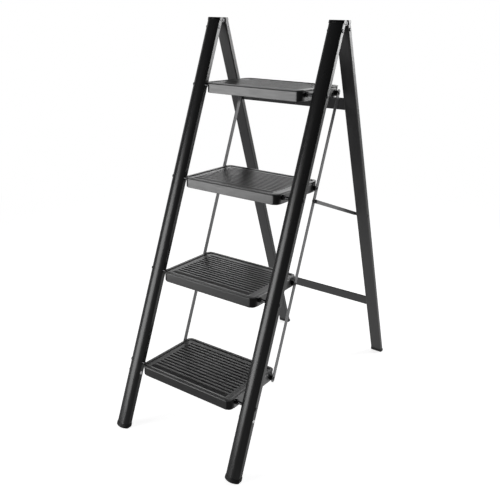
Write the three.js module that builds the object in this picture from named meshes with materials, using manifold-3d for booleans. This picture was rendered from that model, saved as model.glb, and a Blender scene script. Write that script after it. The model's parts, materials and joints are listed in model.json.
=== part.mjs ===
// Folding household ladder with four treads, standing open. Millimetres, +X to the user's right,
// +Y from the climbing side to the rear, +Z up. The origin is on the floor, centred under the footprint.
//
// The front frame (two crowned rails) and the rear frame (two legs and two braces) meet at a hinge
// on each side. Every tread turns on two pins in the rails, its rear corners hang on two link bars,
// and a spreader bar on each side joins the link bar to the rear leg.
import * as THREE from 'three';
import { mergeVertices } from 'three/addons/utils/BufferGeometryUtils.js';
import Module from 'manifold-3d';

// ---- Driving dimensions -------------------------------------------------------------------
const GAP = 0.3; // clearance between neighbouring pieces

const RAIL_LENGTH = 1155; // floor to the top of the cap, along the rail
const RAIL_LEAN = 20.5; // degrees from upright
const RAIL_SPREAD = 419; // over both rails
const RAIL_WIDTH = 40.5;
const RAIL_SIDE = 12.5; // height of the straight side wall
const RAIL_CROWN = 6.5; // how far the curved front stands out
const RAIL_FILLET = 2;
const RAIL_WALL = 1.5;

const LEG_LEAN = 20.4;
const LEG_SPREAD = 415.5;
const LEG_WIDTH = 36.5;
const LEG_SIDE = 14;
const LEG_CROWN = 3.5;
const LEG_FILLET = 3;
const LEG_WALL = 1.4;
const LEG_FOOT_Y = 828; // front face of the leg at the floor, behind the rail's front edge

const TREAD_COUNT = 4;
const TREAD_PITCH = 260; // along the rail
const FIRST_PIN = 187.5; // floor to the lowest tread's pin, along the rail
const PIN_DEPTH = 3; // pin axis behind the rail's front edge
const TREAD_WIDTH = 300;
const TREAD_DEPTH = 201;
const TREAD_NOSE = 25.5; // tread's front face ahead of its pin
const TREAD_TOP = 11.5; // standing surface above the pin
const TREAD_HEIGHT = 28.5;
const TREAD_CORNER = 15;
const LIP_WIDTH = 9;
const LIP_RISE = 1.6;
const DECK_THICK = 1.6;
const SKIRT_WALL = 1.5;
const SKIRT_INSET = 1;
const CORNER_FRONT = 13; // plastic corner, measured along the tread's front edge
const CORNER_SIDE = 19; // and along its side edge
const GROOVE_COUNT = 13;
const GROOVE_PITCH = 12.5;
const GROOVE_WIDTH = 5;
const GROOVE_DEEP = 0.8;
const GROOVE_LENGTH = 254;
const FIRST_GROOVE = -2; // behind the pin

const CRANK_Y = 156; // rear pivot of a tread, behind its front pin
const CRANK_Z = -7;
const BOSS_RADIUS = 6.5;
const BOSS_REACH = 5.5; // boss beyond the tread's side
const BRACKET_WALL = 4;

const BAR_DEPTH = 12.5;
const BAR_THICK = 2.5;
const BAR_OVERRUN = 4; // link bar beyond its end pivots, before the rounded end
const SPREADER_DROP = 34; // spreader pivot below the third tread's rear pivot, along the link bar
const SPREADER_DEPTH = 10;
const SPREADER_STEP = 3; // room between link bar and spreader

const BRACE_HEIGHT = 34;
const BRACE_DEPTH = 4.5;
const BRACE_WALL = 1.5;
const BRACE_SETBACK = 8.5; // behind the leg's front face
const UPPER_BRACE_Z = 864.5;
const LOWER_BRACE_Z = 204;

const SHOE_HEIGHT = 10;
const SHOE_WALL = 1.2;
const SHOE_SOLE = 3;
const PLUG_LENGTH = 45;
const CAP_COLLAR = 8; // square edge of the cap below the top of the rail
const LEG_COLLAR = 12.5; // the same below the top of the leg, whose curved back slopes lower
const CAP_SEAT = 4; // tube end inside the cap
const KNUCKLE_RADIUS = 5.8;
const HINGE_DROP = 7.5; // hinge axis below the top
const KNUCKLE_MIDDLE = 13; // width of the leg's knuckle

const REAR_FOLD = 40; // degrees the rear frame swings in, almost parallel to the rails
const TREAD_TURN = 68.5; // degrees each tread turns up at the same time

const PIN_RADIUS = 3;
const SHOULDER_RADIUS = 4; // thicker part of a tread's front pin, between link bar and rail
const SMALL_PIN_RADIUS = 2.5;
const HEAD_RADIUS = 4.6;
const HEAD_HEIGHT = 1.1;
const CAP_RIVET_DROP = 26; // rivet below the top of the rail or leg
const FOOT_RIVET_HEIGHT = 158;

// ---- Derived dimensions -------------------------------------------------------------------
const rad = THREE.MathUtils.degToRad;
const RAIL_ANGLE = rad(RAIL_LEAN);
const LEG_ANGLE = rad(LEG_LEAN);
const HEIGHT = RAIL_LENGTH * Math.cos(RAIL_ANGLE);
const FRONT_Y = -(RAIL_CROWN + SHOE_WALL) / Math.cos(RAIL_ANGLE);
const BACK_Y = LEG_FOOT_Y + (LEG_SIDE + LEG_CROWN + SHOE_WALL) / Math.cos(LEG_ANGLE);
const RAIL_X = (RAIL_SPREAD - RAIL_WIDTH) / 2;
const LEG_X = (LEG_SPREAD - LEG_WIDTH) / 2;
const TREAD_HALF = TREAD_WIDTH / 2;
const SIDE_FACE = TREAD_HALF - SKIRT_INSET;
const BAR_X = TREAD_HALF + BOSS_REACH + GAP + BAR_THICK / 2;
const SPREADER_X = BAR_X + BAR_THICK + SPREADER_STEP;
const SIDES = { left: -1, right: 1 };

// Points and directions in the ladder's side plane, as (y, z).
const onRail = (along, depth) => new THREE.Vector2(
  along * Math.sin(RAIL_ANGLE) + depth * Math.cos(RAIL_ANGLE),
  along * Math.cos(RAIL_ANGLE) - depth * Math.sin(RAIL_ANGLE),
);
const onLeg = (along, depth) => new THREE.Vector2(
  LEG_FOOT_Y - along * Math.sin(LEG_ANGLE) + depth * Math.cos(LEG_ANGLE),
  along * Math.cos(LEG_ANGLE) + depth * Math.sin(LEG_ANGLE),
);

// The hinge axis lies midway between the rail's back face and the leg's front face.
const HINGE_Z = HEIGHT - HINGE_DROP;
const RAIL_BACK_Y = RAIL_SIDE / Math.cos(RAIL_ANGLE) + HINGE_Z * Math.tan(RAIL_ANGLE);
const LEG_FRONT_Y = LEG_FOOT_Y - HINGE_Z * Math.tan(LEG_ANGLE);
const HINGE = new THREE.Vector2((RAIL_BACK_Y + LEG_FRONT_Y) / 2, HINGE_Z);
const LEG_TOP = HEIGHT / Math.cos(LEG_ANGLE);

// How far each frame turns from open to folded.
const LEG_FOLD = rad(REAR_FOLD);
const TREAD_FOLD = rad(TREAD_TURN);
const treadPin = (index) => onRail(FIRST_PIN + index * TREAD_PITCH, PIN_DEPTH);
const crank = new THREE.Vector2(CRANK_Y, CRANK_Z);

// The spreader's pivot on the leg is placed so that the bar has one length both open and folded.
const alongBar = new THREE.Vector2(Math.sin(RAIL_ANGLE), Math.cos(RAIL_ANGLE));
const spreaderOnBar = treadPin(2).add(crank).addScaledVector(alongBar, -SPREADER_DROP);
const barTravel = crank.clone().rotateAround(new THREE.Vector2(), TREAD_FOLD).sub(crank);
const spreaderOnBarFolded = spreaderOnBar.clone().add(barTravel);
const legMiddle = (along) => onLeg(along, LEG_SIDE / 2);
const legMiddleFolded = (along) => legMiddle(along).rotateAround(HINGE, -LEG_FOLD);
const lengthError = (along) => legMiddle(along).distanceToSquared(spreaderOnBar)
  - legMiddleFolded(along).distanceToSquared(spreaderOnBarFolded);
const SPREADER_ON_LEG = lengthError(0) / (lengthError(0) - lengthError(1));
const spreaderOnLeg = legMiddle(SPREADER_ON_LEG);

// ---- Materials ----------------------------------------------------------------------------
const material = (color, roughness, metalness) => new THREE.MeshStandardMaterial({
  color, roughness, metalness,
});
const RAIL_BLACK = material(0x1b1b1c, 0.35, 0.6);
const TREAD_BLACK = material(0x2a2a2c, 0.45, 0.5);
const PLASTIC = material(0x101011, 0.6, 0);
const BAR_GREY = material(0x3a3a3c, 0.4, 0.7);
const STEEL = material(0x8a8a8c, 0.3, 0.9);
const DARK_RIVET = material(0x232324, 0.4, 0.7);

// ---- Solids -------------------------------------------------------------------------------
const wasm = await Module();
wasm.setup();

function solid(geometry) {
  const bare = geometry.clone();
  bare.deleteAttribute('normal');
  bare.deleteAttribute('uv');
  const merged = mergeVertices(bare, 1e-4);
  return new wasm.Manifold(new wasm.Mesh({
    numProp: 3,
    vertProperties: new Float32Array(merged.attributes.position.array),
    triVerts: new Uint32Array(merged.index.array),
  }));
}

function geometryOf(manifold) {
  const mesh = manifold.getMesh();
  const geometry = new THREE.BufferGeometry();
  geometry.setAttribute('position', new THREE.BufferAttribute(mesh.vertProperties, 3));
  geometry.setIndex(new THREE.BufferAttribute(mesh.triVerts, 1));
  geometry.computeVertexNormals();
  return geometry;
}

const join = (first, ...rest) => rest.reduce((sum, next) => sum.add(next), first);
const cut = (first, ...rest) => rest.reduce((sum, next) => sum.subtract(next), first);

// Adds an arc to a shape as a fixed number of straight steps.
function arcTo(shape, x, y, radius, from, to, steps) {
  for (let i = 0; i <= steps; i += 1) {
    const turn = from + (to - from) * (i / steps);
    const move = shape.curves.length === 0 && i === 0 ? 'moveTo' : 'lineTo';
    shape[move](x + radius * Math.cos(turn), y + radius * Math.sin(turn));
  }
}

// Section with a curved front (towards -y), straight sides from y = 0 to y = side, and a flat,
// filleted back. grow moves the whole outline outwards; growBack moves the flat back by itself.
function crownedSection({ width, side, crown, fillet }, grow = 0, growBack = grow) {
  const radius = (width ** 2 / 4 + crown ** 2) / (2 * crown);
  const half = width / 2 + grow;
  const arc = radius + grow;
  const reach = Math.asin(half / arc);
  const back = side + growBack;
  const corner = Math.max(fillet + grow, 0.5);
  const front = -Math.PI / 2;
  const shape = new THREE.Shape();
  arcTo(shape, 0, radius - crown, arc, front - reach, front + reach, 6);
  arcTo(shape, half - corner, back - corner, corner, 0, Math.PI / 2, 2);
  arcTo(shape, -half + corner, back - corner, corner, Math.PI / 2, Math.PI, 2);
  shape.closePath();
  return shape;
}

const RAIL = { width: RAIL_WIDTH, side: RAIL_SIDE, crown: RAIL_CROWN, fillet: RAIL_FILLET };
const LEG = { width: LEG_WIDTH, side: LEG_SIDE, crown: LEG_CROWN, fillet: LEG_FILLET };

function prism(shape, low, high) {
  const geometry = new THREE.ExtrudeGeometry(shape, { depth: high - low, bevelEnabled: false });
  return geometry.translate(0, 0, low);
}

function roundedRectangle(width, depth, radius) {
  const shape = new THREE.Shape();
  for (let i = 0; i < 4; i += 1) {
    const x = (i === 0 || i === 3 ? 1 : -1) * (width / 2 - radius);
    const y = (i < 2 ? 1 : -1) * (depth / 2 - radius);
    arcTo(shape, x, y, radius, i * Math.PI / 2, (i + 1) * Math.PI / 2, 3);
  }
  shape.closePath();
  return shape;
}

function box(x0, x1, y0, y1, z0, z1) {
  const geometry = new THREE.BoxGeometry(x1 - x0, y1 - y0, z1 - z0);
  return geometry.translate((x0 + x1) / 2, (y0 + y1) / 2, (z0 + z1) / 2);
}

// Round bar along X from x0 to x1, centred on (y, z).
function crossRod(radius, x0, x1, y, z, segments = 8) {
  const geometry = new THREE.CylinderGeometry(radius, radius, x1 - x0, segments);
  return geometry.rotateZ(Math.PI / 2).translate((x0 + x1) / 2, y, z);
}

// Turned pin along X. Each step is [x, radius]; the profile closes on the axis at both ends.
function turnedPin(steps, segments = 8) {
  const points = [new THREE.Vector2(0, steps[0][0])];
  for (const [x, radius] of steps) {
    points.push(new THREE.Vector2(radius, x));
  }
  points.push(new THREE.Vector2(0, steps[steps.length - 1][0]));
  const geometry = new THREE.LatheGeometry(points, segments);
  return geometry.rotateZ(-Math.PI / 2);
}

// Domed head between the seat at x and x + height * way, as profile steps running outwards.
const head = (x, way, radius = HEAD_RADIUS, height = HEAD_HEIGHT) => [
  [x, radius],
  [x + way * height * 0.4, radius],
  [x + way * height, radius * 0.55],
];
const mirrored = (steps) => steps.map(([x, radius]) => [-x, radius]).reverse();

// Flat bar with rounded ends, standing in the side plane, with a hole at each given distance.
function flatBar(length, overrun, depth, thick, holes, holeRadius) {
  const half = depth / 2;
  const shape = new THREE.Shape();
  arcTo(shape, 0, length + overrun, half, 0, Math.PI, 4);
  arcTo(shape, 0, -overrun, half, Math.PI, Math.PI * 2, 4);
  shape.closePath();
  for (const along of holes) {
    const hole = new THREE.Path();
    arcTo(hole, 0, along, holeRadius, 0, -Math.PI * 1.75, 7);
    hole.closePath();
    shape.holes.push(hole);
  }
  const geometry = new THREE.ExtrudeGeometry(shape, { depth: thick, bevelEnabled: false });
  geometry.translate(0, 0, -thick / 2);
  // Shape x becomes the ladder's y, shape y its z, and the thickness runs along x.
  return geometry.applyMatrix4(new THREE.Matrix4().makeBasis(
    new THREE.Vector3(0, 1, 0), new THREE.Vector3(0, 0, 1), new THREE.Vector3(1, 0, 0),
  ));
}

// ---- Scene graph --------------------------------------------------------------------------
const ladder = new THREE.Group();
ladder.position.set(0, -(FRONT_Y + BACK_Y) / 2, 0);

function addGroup(y, z, angle) {
  const group = new THREE.Group();
  group.position.set(0, y, z);
  group.rotation.x = angle;
  group.updateMatrix();
  ladder.add(group);
  return group;
}

function addMesh(parent, name, geometry, finish, x = 0) {
  const mesh = new THREE.Mesh(geometry, finish);
  mesh.name = name;
  mesh.position.x = x;
  parent.add(mesh);
}

// Horizontal slice of the ladder's space, expressed in a group's own frame.
function slab(group, low, high) {
  const geometry = box(-3000, 3000, -3000, 3000, low, high);
  return solid(geometry.applyMatrix4(group.matrix.clone().invert()));
}

// Outline in the side plane, extruded along X and expressed in a group's own frame.
function sideProfile(group, points, x0, x1) {
  const shape = new THREE.Shape(points);
  const geometry = new THREE.ExtrudeGeometry(shape, { depth: x1 - x0, bevelEnabled: false });
  geometry.translate(0, 0, x0);
  geometry.applyMatrix4(new THREE.Matrix4().makeBasis(
    new THREE.Vector3(0, 1, 0), new THREE.Vector3(0, 0, 1), new THREE.Vector3(1, 0, 0),
  ));
  return solid(geometry.applyMatrix4(group.matrix.clone().invert()));
}

// Group position of a point of the side plane, so holes can be drilled in local coordinates.
function toLocal(group, point) {
  return new THREE.Vector3(0, point.x, point.y).applyMatrix4(group.matrix.clone().invert());
}

// A knuckle: half round about the hinge axis, with a straight neck running to neckY.
function knuckle(group, neckY, x0, x1) {
  const way = Math.sign(neckY - HINGE.x);
  const points = [];
  const steps = 6;
  for (let i = 0; i <= steps; i += 1) {
    const turn = Math.PI / 2 + (i / steps) * Math.PI;
    points.push(new THREE.Vector2(
      HINGE.x + way * KNUCKLE_RADIUS * Math.cos(turn),
      HINGE.y + KNUCKLE_RADIUS * Math.sin(turn),
    ));
  }
  points.push(new THREE.Vector2(neckY, HINGE.y - KNUCKLE_RADIUS));
  points.push(new THREE.Vector2(neckY, HINGE.y + KNUCKLE_RADIUS));
  return sideProfile(group, points, x0, x1);
}

// ---- Front frame --------------------------------------------------------------------------
const frontFrame = addGroup(0, 0, -RAIL_ANGLE);
const railTopCut = RAIL_LENGTH - CAP_COLLAR;
const railEnd = railTopCut + CAP_SEAT;
const railRivet = RAIL_LENGTH - CAP_RIVET_DROP;
const railMiddle = (RAIL_SIDE - RAIL_CROWN) / 2 + 1;
const wide = RAIL_WIDTH / 2 + 5;

function railTube() {
  const shape = crownedSection(RAIL);
  shape.holes.push(crownedSection(RAIL, -RAIL_WALL));
  let tube = solid(prism(shape, -40, railEnd));
  tube = tube.intersect(slab(frontFrame, SHOE_SOLE + GAP, HEIGHT));
  for (let i = 0; i < TREAD_COUNT; i += 1) {
    const along = FIRST_PIN + i * TREAD_PITCH;
    tube = cut(tube, solid(crossRod(PIN_RADIUS + GAP, -wide, wide, PIN_DEPTH, along)));
  }
  for (const along of [railRivet, FOOT_RIVET_HEIGHT]) {
    tube = cut(tube, solid(crossRod(SMALL_PIN_RADIUS + GAP, -wide, wide, railMiddle, along)));
  }
  return geometryOf(tube);
}

function railCap() {
  const collar = solid(prism(crownedSection(RAIL, SHOE_WALL, 0), railTopCut, RAIL_LENGTH + 40));
  const outer = KNUCKLE_MIDDLE / 2 + GAP;
  const neck = HINGE.x - KNUCKLE_RADIUS - 6;
  const knuckles = join(
    knuckle(frontFrame, neck, -LEG_WIDTH / 2, -outer),
    knuckle(frontFrame, neck, outer, LEG_WIDTH / 2),
  );
  const seat = solid(prism(crownedSection(RAIL, GAP), railTopCut - 80, railEnd + GAP));
  const plug = solid(prism(
    crownedSection(RAIL, -RAIL_WALL - GAP), railEnd - PLUG_LENGTH, railEnd + GAP * 2,
  ));
  let cap = join(cut(join(collar, knuckles), seat), plug);
  cap = cap.intersect(slab(frontFrame, 0, HEIGHT));
  const axis = toLocal(frontFrame, HINGE);
  return geometryOf(cut(
    cap,
    solid(crossRod(PIN_RADIUS + GAP, -wide, wide, axis.y, axis.z)),
    solid(crossRod(SMALL_PIN_RADIUS + GAP, -wide, wide, railMiddle, railRivet)),
  ));
}

// Shoe for a tube that leans: outer wall up to the shoe's height, sole, and a plug in the tube.
function shoe(group, section, wall, turn) {
  const place = (geometry) => (turn ? geometry.applyMatrix4(turn) : geometry);
  const outer = solid(place(prism(crownedSection(section, SHOE_WALL), -40, 60)));
  const seat = solid(place(prism(crownedSection(section, GAP), -60, 80)));
  const plug = solid(place(prism(crownedSection(section, -wall - GAP), -60, PLUG_LENGTH)));
  const shell = outer.intersect(slab(group, 0, SHOE_HEIGHT));
  const hollow = seat.intersect(slab(group, SHOE_SOLE, SHOE_HEIGHT * 4));
  const core = plug.intersect(slab(group, SHOE_SOLE - 1, PLUG_LENGTH));
  return geometryOf(join(cut(shell, hollow), core));
}

// Rivet through both side walls of a tube, headed at both ends.
function throughRivet(width, y, z) {
  const outside = head(width / 2 + GAP, 1);
  return turnedPin([
    ...mirrored(outside),
    [-width / 2 - GAP, SMALL_PIN_RADIUS],
    [width / 2 + GAP, SMALL_PIN_RADIUS],
    ...outside,
  ]).translate(0, y, z);
}

const railGeometry = railTube();
const railCapGeometry = railCap();
const frontFootGeometry = shoe(frontFrame, RAIL, RAIL_WALL);
const hingeAxis = toLocal(frontFrame, HINGE);
const hingeHead = head(LEG_WIDTH / 2 + GAP, 1, HEAD_RADIUS, 1.2);
for (const [name, side] of Object.entries(SIDES)) {
  const x = side * RAIL_X;
  addMesh(frontFrame, `${name}_front_rail`, railGeometry, RAIL_BLACK, x);
  addMesh(frontFrame, `${name}_rail_cap`, railCapGeometry, PLASTIC, x);
  addMesh(frontFrame, `${name}_front_foot`, frontFootGeometry, PLASTIC, x);
  addMesh(frontFrame, `${name}_rail_cap_rivet`,
    throughRivet(RAIL_WIDTH, railMiddle, railRivet), DARK_RIVET, x);
  addMesh(frontFrame, `${name}_rail_lower_rivet`,
    throughRivet(RAIL_WIDTH, railMiddle, FOOT_RIVET_HEIGHT), STEEL, x);
  addMesh(frontFrame, `${name}_hinge_pin`, turnedPin([
    ...mirrored(hingeHead),
    [-LEG_WIDTH / 2 - GAP, PIN_RADIUS],
    [LEG_WIDTH / 2 + GAP, PIN_RADIUS],
    ...hingeHead,
  ]).translate(0, hingeAxis.y, hingeAxis.z), DARK_RIVET, side * LEG_X);
}

// ---- Rear frame ---------------------------------------------------------------------------
const rearFrame = addGroup(LEG_FOOT_Y, 0, LEG_ANGLE);
// The leg's section is the rail's section turned round: flat in front, curved behind.
const turned = new THREE.Matrix4().makeRotationZ(Math.PI).setPosition(0, LEG_SIDE, 0);
const legTopCut = LEG_TOP - LEG_COLLAR;
const legEnd = legTopCut + CAP_SEAT;
const legRivet = LEG_TOP - CAP_RIVET_DROP;
const legWide = LEG_WIDTH / 2 + 5;

function legTube() {
  const shape = crownedSection(LEG);
  shape.holes.push(crownedSection(LEG, -LEG_WALL));
  const tube = solid(prism(shape, -40, legEnd).applyMatrix4(turned));
  return geometryOf(cut(
    tube.intersect(slab(rearFrame, SHOE_SOLE + GAP, HEIGHT)),
    solid(crossRod(SMALL_PIN_RADIUS + GAP, -legWide, legWide, LEG_SIDE / 2, SPREADER_ON_LEG)),
    solid(crossRod(SMALL_PIN_RADIUS + GAP, -legWide, legWide, LEG_SIDE / 2, legRivet)),
  ));
}

function legCap() {
  const section = crownedSection(LEG, SHOE_WALL, 0);
  const collar = solid(prism(section, legTopCut, LEG_TOP + 40).applyMatrix4(turned));
  const middle = knuckle(
    rearFrame, HINGE.x + KNUCKLE_RADIUS + 6, -KNUCKLE_MIDDLE / 2, KNUCKLE_MIDDLE / 2,
  );
  const seat = solid(prism(crownedSection(LEG, GAP), legTopCut - 80, legEnd + GAP)
    .applyMatrix4(turned));
  const plug = solid(prism(
    crownedSection(LEG, -LEG_WALL - GAP), legEnd - PLUG_LENGTH, legEnd + GAP * 2,
  ).applyMatrix4(turned));
  const cap = join(cut(join(collar, middle), seat), plug).intersect(slab(rearFrame, 0, HEIGHT));
  const axis = toLocal(rearFrame, HINGE);
  return geometryOf(cut(
    cap,
    solid(crossRod(PIN_RADIUS + GAP, -legWide, legWide, axis.y, axis.z)),
    solid(crossRod(SMALL_PIN_RADIUS + GAP, -legWide, legWide, LEG_SIDE / 2, legRivet)),
  ));
}

// Pressed channel between the inner walls of the legs, flat in front and open at the back.
function brace(along) {
  const half = LEG_X - LEG_WIDTH / 2 - GAP;
  const back = BRACE_SETBACK + BRACE_DEPTH;
  const low = along - BRACE_HEIGHT / 2;
  const high = along + BRACE_HEIGHT / 2;
  const wall = BRACE_WALL;
  return geometryOf(cut(
    solid(box(-half, half, BRACE_SETBACK, back, low, high)),
    solid(box(-half - 1, half + 1, BRACE_SETBACK + wall, back + 1, low + wall, high - wall)),
  ));
}

const legGeometry = legTube();
const legCapGeometry = legCap();
const rearFootGeometry = shoe(rearFrame, LEG, LEG_WALL, turned);
const spreaderFace = SPREADER_X + BAR_THICK / 2 + GAP;
const legInner = LEG_X - LEG_WIDTH / 2;
for (const [name, side] of Object.entries(SIDES)) {
  const x = side * LEG_X;
  addMesh(rearFrame, `${name}_rear_leg`, legGeometry, RAIL_BLACK, x);
  addMesh(rearFrame, `${name}_leg_cap`, legCapGeometry, PLASTIC, x);
  addMesh(rearFrame, `${name}_rear_foot`, rearFootGeometry, PLASTIC, x);
  addMesh(rearFrame, `${name}_leg_cap_rivet`,
    throughRivet(LEG_WIDTH, LEG_SIDE / 2, legRivet), DARK_RIVET, x);
  const stud = [
    [spreaderFace, HEAD_RADIUS],
    [legInner - GAP, HEAD_RADIUS],
    [legInner - GAP, SMALL_PIN_RADIUS],
    [LEG_SPREAD / 2 + GAP, SMALL_PIN_RADIUS],
    ...head(LEG_SPREAD / 2 + GAP, 1),
  ];
  addMesh(rearFrame, `${name}_spreader_stud`,
    turnedPin(side > 0 ? stud : mirrored(stud)).translate(0, LEG_SIDE / 2, SPREADER_ON_LEG),
    DARK_RIVET);
}
addMesh(rearFrame, 'upper_rear_brace', brace(UPPER_BRACE_Z / Math.cos(LEG_ANGLE)), RAIL_BLACK);
addMesh(rearFrame, 'lower_rear_brace', brace(LOWER_BRACE_Z / Math.cos(LEG_ANGLE)), RAIL_BLACK);

// ---- Treads -------------------------------------------------------------------------------
const treadMiddleY = TREAD_DEPTH / 2 - TREAD_NOSE;
const treadBottom = TREAD_TOP - TREAD_HEIGHT;
const deckTop = TREAD_TOP - LIP_RISE;
const deckBottom = deckTop - DECK_THICK;
const skirtFront = -TREAD_NOSE + SKIRT_INSET;
const skirtBack = TREAD_DEPTH - TREAD_NOSE - SKIRT_INSET;

const treadPlate = (inset, low, high, radius = TREAD_CORNER - inset) => solid(prism(
  roundedRectangle(TREAD_WIDTH - 2 * inset, TREAD_DEPTH - 2 * inset, radius), low, high,
).translate(0, treadMiddleY, 0));

// Boxes over the four corners, where plastic takes the place of the skirt.
function cornerBoxes(alongFront, alongSide, low, high) {
  const boxes = [];
  for (const side of [-1, 1]) {
    const near = side * (TREAD_HALF - alongFront);
    const far = side * (TREAD_HALF + 1);
    const x0 = Math.min(near, far);
    const x1 = Math.max(near, far);
    boxes.push(solid(box(x0, x1, -TREAD_NOSE - 1, -TREAD_NOSE + alongSide, low, high)));
    const back = TREAD_DEPTH - TREAD_NOSE;
    boxes.push(solid(box(x0, x1, back - alongSide, back + 1, low, high)));
  }
  return join(...boxes);
}

function tray() {
  const plate = cut(
    treadPlate(0, deckBottom, TREAD_TOP),
    treadPlate(LIP_WIDTH, deckTop, TREAD_TOP + 1),
  );
  const skirt = cut(
    treadPlate(SKIRT_INSET, treadBottom, deckBottom + 0.5),
    treadPlate(SKIRT_INSET + SKIRT_WALL, treadBottom - 1, deckBottom + 1),
    cornerBoxes(CORNER_FRONT, CORNER_SIDE, treadBottom - 1, deckBottom),
  );
  let body = join(plate, skirt);
  for (let i = 0; i < GROOVE_COUNT; i += 1) {
    const y = FIRST_GROOVE + i * GROOVE_PITCH;
    body = cut(body, solid(box(
      -GROOVE_LENGTH / 2, GROOVE_LENGTH / 2,
      y - GROOVE_WIDTH / 2, y + GROOVE_WIDTH / 2,
      deckTop - GROOVE_DEEP, deckTop + 1,
    )));
  }
  for (const [y, z] of [[0, 0], [CRANK_Y, CRANK_Z]]) {
    body = cut(body, solid(crossRod(BOSS_RADIUS + 2 * GAP, -TREAD_HALF - 5, TREAD_HALF + 5, y, z)));
  }
  return geometryOf(body);
}

// Plastic end bracket: a wall behind the side skirt, both visible corners, and the two bosses.
function bracket(side) {
  const inner = SKIRT_INSET + SKIRT_WALL + GAP;
  const top = deckBottom - GAP;
  const low = treadBottom + GAP;
  const keepFrom = SIDE_FACE - SKIRT_WALL - GAP - BRACKET_WALL;
  const keep = (x0, x1) => solid(box(
    Math.min(side * x0, side * x1), Math.max(side * x0, side * x1),
    -TREAD_NOSE - 5, TREAD_DEPTH, low - 5, top + 5,
  ));
  const wall = treadPlate(inner, low, top).intersect(keep(keepFrom, TREAD_HALF));
  const corners = treadPlate(SKIRT_INSET, treadBottom, top)
    .intersect(keep(TREAD_HALF - CORNER_FRONT + GAP, TREAD_HALF + 5))
    .intersect(cornerBoxes(
      CORNER_FRONT - GAP, CORNER_SIDE - GAP, treadBottom - 1, top + 1,
    ));
  const blocks = [];
  for (const [y, z] of [[0, 0], [CRANK_Y, CRANK_Z]]) {
    const x0 = side * (keepFrom - 6);
    const x1 = side * (TREAD_HALF + BOSS_REACH);
    blocks.push(solid(crossRod(BOSS_RADIUS, Math.min(x0, x1), Math.max(x0, x1), y, z, 12)));
  }
  const bores = [
    solid(crossRod(PIN_RADIUS + GAP, -TREAD_WIDTH, TREAD_WIDTH, 0, 0)),
    solid(crossRod(SMALL_PIN_RADIUS + GAP, -TREAD_WIDTH, TREAD_WIDTH, CRANK_Y, CRANK_Z)),
  ];
  return geometryOf(cut(join(wall, corners, ...blocks), ...bores));
}

function frontPin(side) {
  const outside = RAIL_SPREAD / 2 + GAP;
  const shoulder = BAR_X + BAR_THICK / 2 + GAP;
  const inside = RAIL_SPREAD / 2 - RAIL_WIDTH - GAP;
  const steps = [
    [SIDE_FACE - 12, PIN_RADIUS],
    [shoulder, PIN_RADIUS],
    [shoulder, SHOULDER_RADIUS],
    [inside, SHOULDER_RADIUS],
    [inside, PIN_RADIUS],
    [outside, PIN_RADIUS],
    ...head(outside, 1, HEAD_RADIUS + 0.6),
  ];
  return turnedPin(side > 0 ? steps : mirrored(steps));
}

function rearPin(side) {
  const outside = BAR_X + BAR_THICK / 2 + GAP;
  const steps = [
    [SIDE_FACE - 12, SMALL_PIN_RADIUS],
    [outside, SMALL_PIN_RADIUS],
    ...head(outside, 1),
  ];
  return turnedPin(side > 0 ? steps : mirrored(steps)).translate(0, CRANK_Y, CRANK_Z);
}

const trayGeometry = tray();
for (let i = 0; i < TREAD_COUNT; i += 1) {
  const pin = treadPin(i);
  const tread = addGroup(pin.x, pin.y, 0);
  const label = `tread_${i + 1}`;
  addMesh(tread, `${label}_tray`, trayGeometry, TREAD_BLACK);
  for (const [name, side] of Object.entries(SIDES)) {
    addMesh(tread, `${label}_${name}_bracket`, bracket(side), PLASTIC);
    addMesh(tread, `${label}_${name}_front_pin`, frontPin(side), DARK_RIVET);
    addMesh(tread, `${label}_${name}_rear_pin`, rearPin(side), DARK_RIVET);
  }
}

// ---- Link bars and spreaders --------------------------------------------------------------
const lowestCrank = treadPin(0).add(crank);
const links = addGroup(lowestCrank.x, lowestCrank.y, -RAIL_ANGLE);
const barLength = (TREAD_COUNT - 1) * TREAD_PITCH;
const barHoles = [0, 1, 2, 3].map((i) => i * TREAD_PITCH);
const linkBar = () => flatBar(
  barLength, BAR_OVERRUN, BAR_DEPTH, BAR_THICK,
  [...barHoles, 2 * TREAD_PITCH - SPREADER_DROP], SMALL_PIN_RADIUS + GAP,
);

const reach = spreaderOnLeg.clone().sub(spreaderOnBar);
const spreaders = addGroup(spreaderOnBar.x, spreaderOnBar.y, Math.atan2(-reach.x, reach.y));
const spreaderBar = () => flatBar(
  reach.length(), 0, SPREADER_DEPTH, BAR_THICK, [0, reach.length()], SMALL_PIN_RADIUS + GAP,
);

function spreaderPin(side) {
  const barFace = BAR_X + BAR_THICK / 2 + GAP;
  const barBack = BAR_X - BAR_THICK / 2 - GAP;
  const steps = [
    [barBack - 1.8, HEAD_RADIUS],
    [barBack, HEAD_RADIUS],
    [barBack, SMALL_PIN_RADIUS],
    [barFace, SMALL_PIN_RADIUS],
    [barFace, HEAD_RADIUS],
    [SPREADER_X - BAR_THICK / 2 - GAP, HEAD_RADIUS],
    [SPREADER_X - BAR_THICK / 2 - GAP, SMALL_PIN_RADIUS],
    [spreaderFace, SMALL_PIN_RADIUS],
    ...head(spreaderFace, 1),
  ];
  return turnedPin(side > 0 ? steps : mirrored(steps));
}

for (const [name, side] of Object.entries(SIDES)) {
  addMesh(links, `${name}_link_bar`, linkBar(), BAR_GREY, side * BAR_X);
  addMesh(spreaders, `${name}_spreader_bar`, spreaderBar(), BAR_GREY, side * SPREADER_X);
  addMesh(spreaders, `${name}_spreader_pin`, spreaderPin(side), DARK_RIVET);
}

export default ladder;
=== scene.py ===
"""Looks of a black folding household ladder with four treads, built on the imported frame."""
import json
import math

import bmesh
import bpy
from mathutils import Matrix, Vector


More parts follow.
